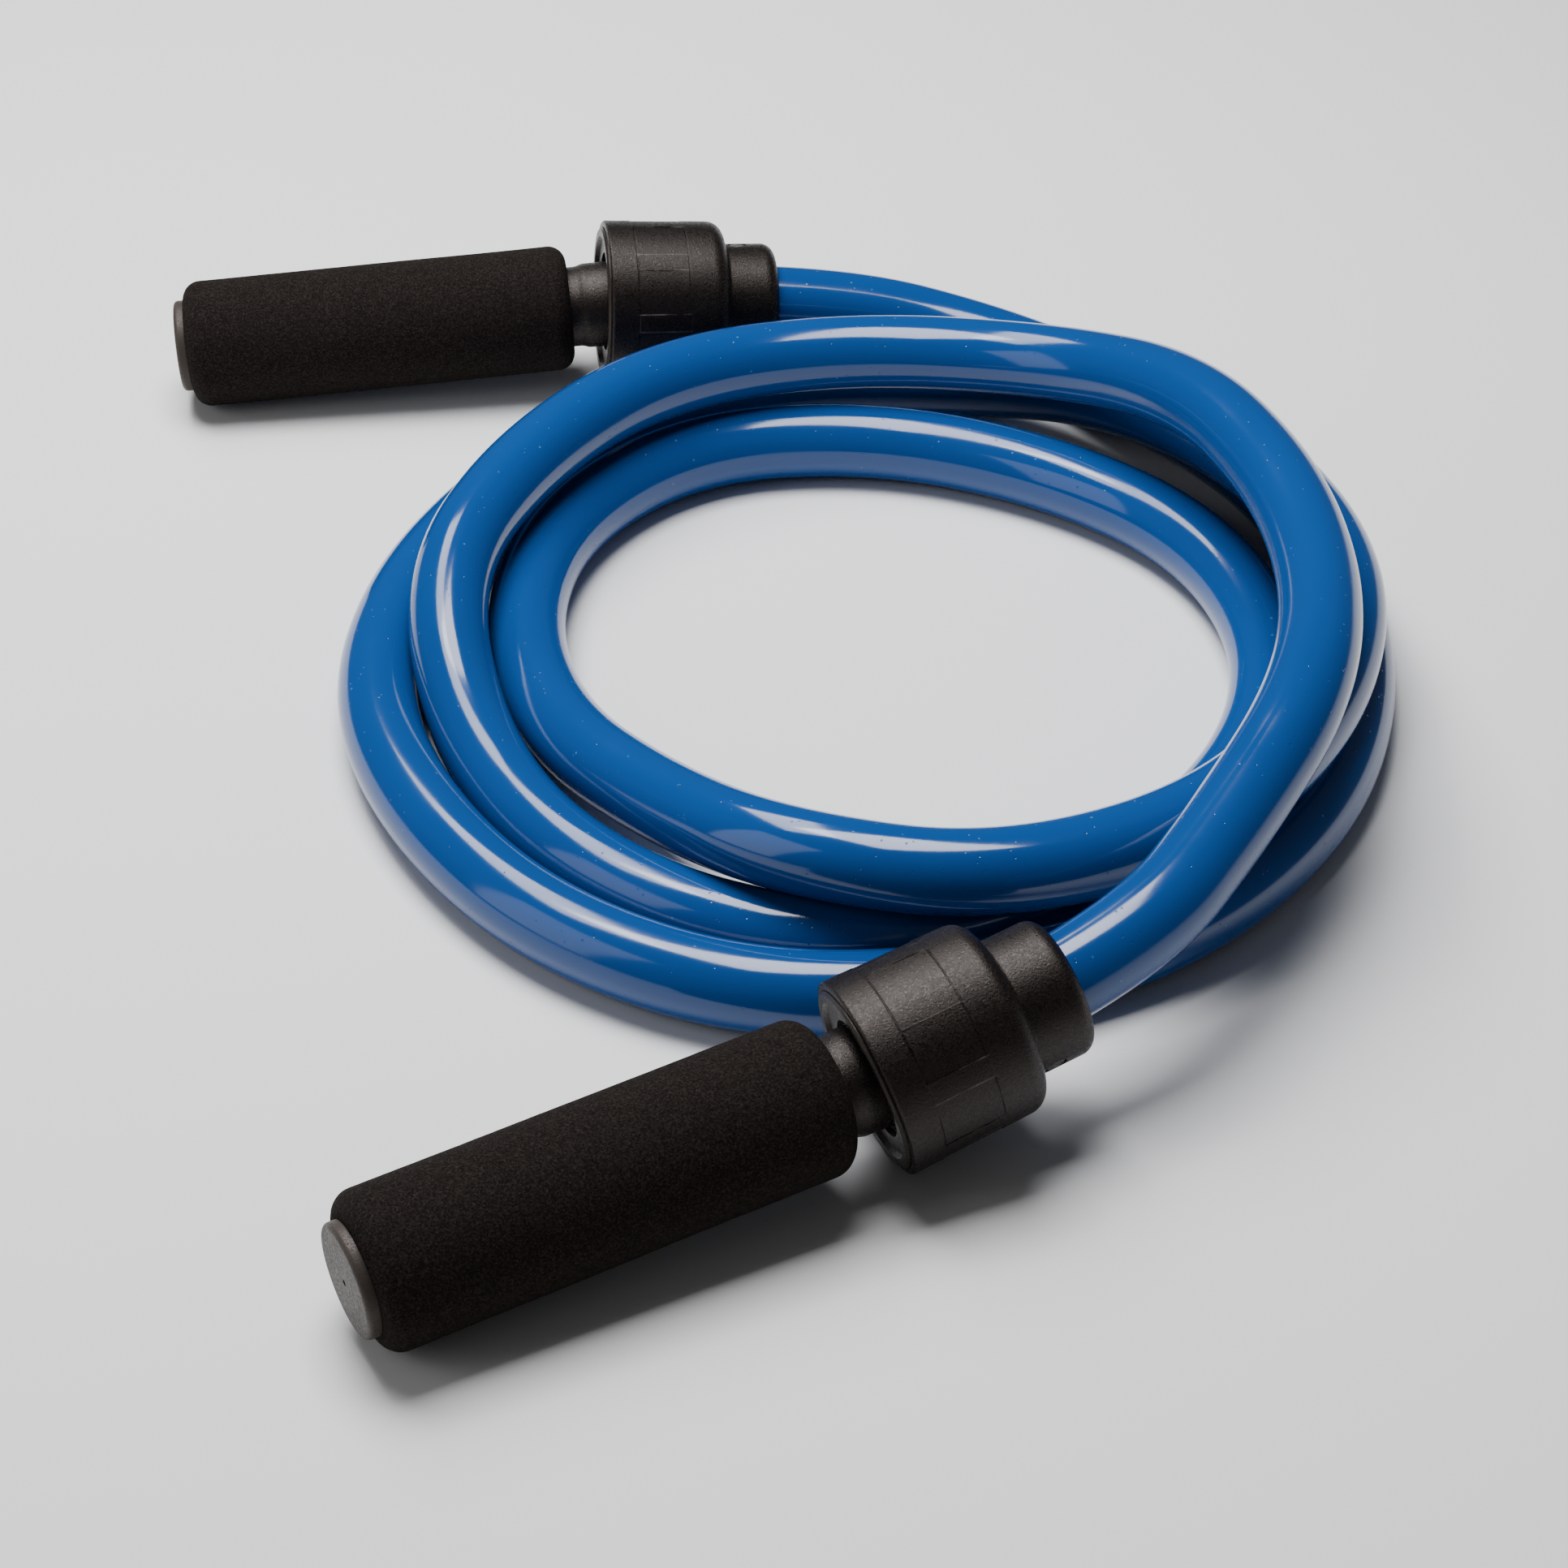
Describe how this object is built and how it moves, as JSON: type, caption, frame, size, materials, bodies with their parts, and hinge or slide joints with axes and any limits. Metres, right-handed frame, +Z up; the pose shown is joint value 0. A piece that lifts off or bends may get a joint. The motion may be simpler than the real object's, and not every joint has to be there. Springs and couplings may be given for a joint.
{
  "type": "weighted jump rope",
  "caption": "Thick coiled rope between two swivel handles, each with a foam grip turning on a ball bearing in a round housing, for skipping exercise.",
  "frame": {"origin": "on the floor, under the middle of the box around the two handles", "axes": "+Z up, +Y from the near handle towards the far handle, +X from the grips towards the coil"},
  "size_m": [0.358, 0.4679, 0.068],
  "materials": {
    "rope": "glossy blue PVC with fine specks",
    "foam": "matte fine-celled black foam",
    "housing": "satin moulded black plastic",
    "core": "fine spark-textured black plastic",
    "end_cap": "satin dark grey-brown plastic",
    "bearing_steel": "ground and polished bearing steel",
    "cage": "pressed steel",
    "fixings": "zinc-plated steel",
    "pin": "satin black plastic"
  },
  "bodies": {
    "root": {"rope": "rope", "swivel_housing_far": "housing", "bearing_retainer_far": "housing", "bearing_outer_race_far": "bearing_steel", "rope_pin_far": "pin", "swivel_housing_near": "housing", "bearing_retainer_near": "housing", "bearing_outer_race_near": "bearing_steel", "rope_pin_near": "pin"},
    "grip_far": {"foam_grip_far": "foam", "handle_core_far": "core", "end_cap_far": "end_cap", "bearing_inner_race_far": "bearing_steel", "spindle_washer_far": "fixings", "spindle_screw_far": "fixings"},
    "cage_far": {"bearing_cage_far": "cage", "bearing_balls_far": "bearing_steel"},
    "grip_near": {"foam_grip_near": "foam", "handle_core_near": "core", "end_cap_near": "end_cap", "bearing_inner_race_near": "bearing_steel", "spindle_washer_near": "fixings", "spindle_screw_near": "fixings"},
    "cage_near": {"bearing_cage_near": "cage", "bearing_balls_near": "bearing_steel"}
  },
  "joints": [
    {"name": "grip_turn_far", "type": "hinge", "parent": "root", "child": "grip_far", "pos_m": [0.0094, 0.2062, 0.02582], "axis": [0.9922, 0.1148, 0.0488], "continuous": true},
    {"name": "cage_turn_far", "type": "hinge", "parent": "root", "child": "cage_far", "pos_m": [0.0094, 0.2062, 0.02582], "axis": [0.9922, 0.1148, 0.0488], "continuous": true},
    {"name": "grip_turn_near", "type": "hinge", "parent": "root", "child": "grip_near", "pos_m": [0.0837, -0.1548, 0.02601], "axis": [0.8827, 0.4673, 0.0502], "continuous": true},
    {"name": "cage_turn_near", "type": "hinge", "parent": "root", "child": "cage_near", "pos_m": [0.0837, -0.1548, 0.02601], "axis": [0.8827, 0.4673, 0.0502], "continuous": true}
  ],
  "couplings": [
    {"joint": "cage_turn_far", "follows": "grip_turn_far", "ratio": 0.4085},
    {"joint": "cage_turn_near", "follows": "grip_turn_near", "ratio": 0.4085}
  ]
}
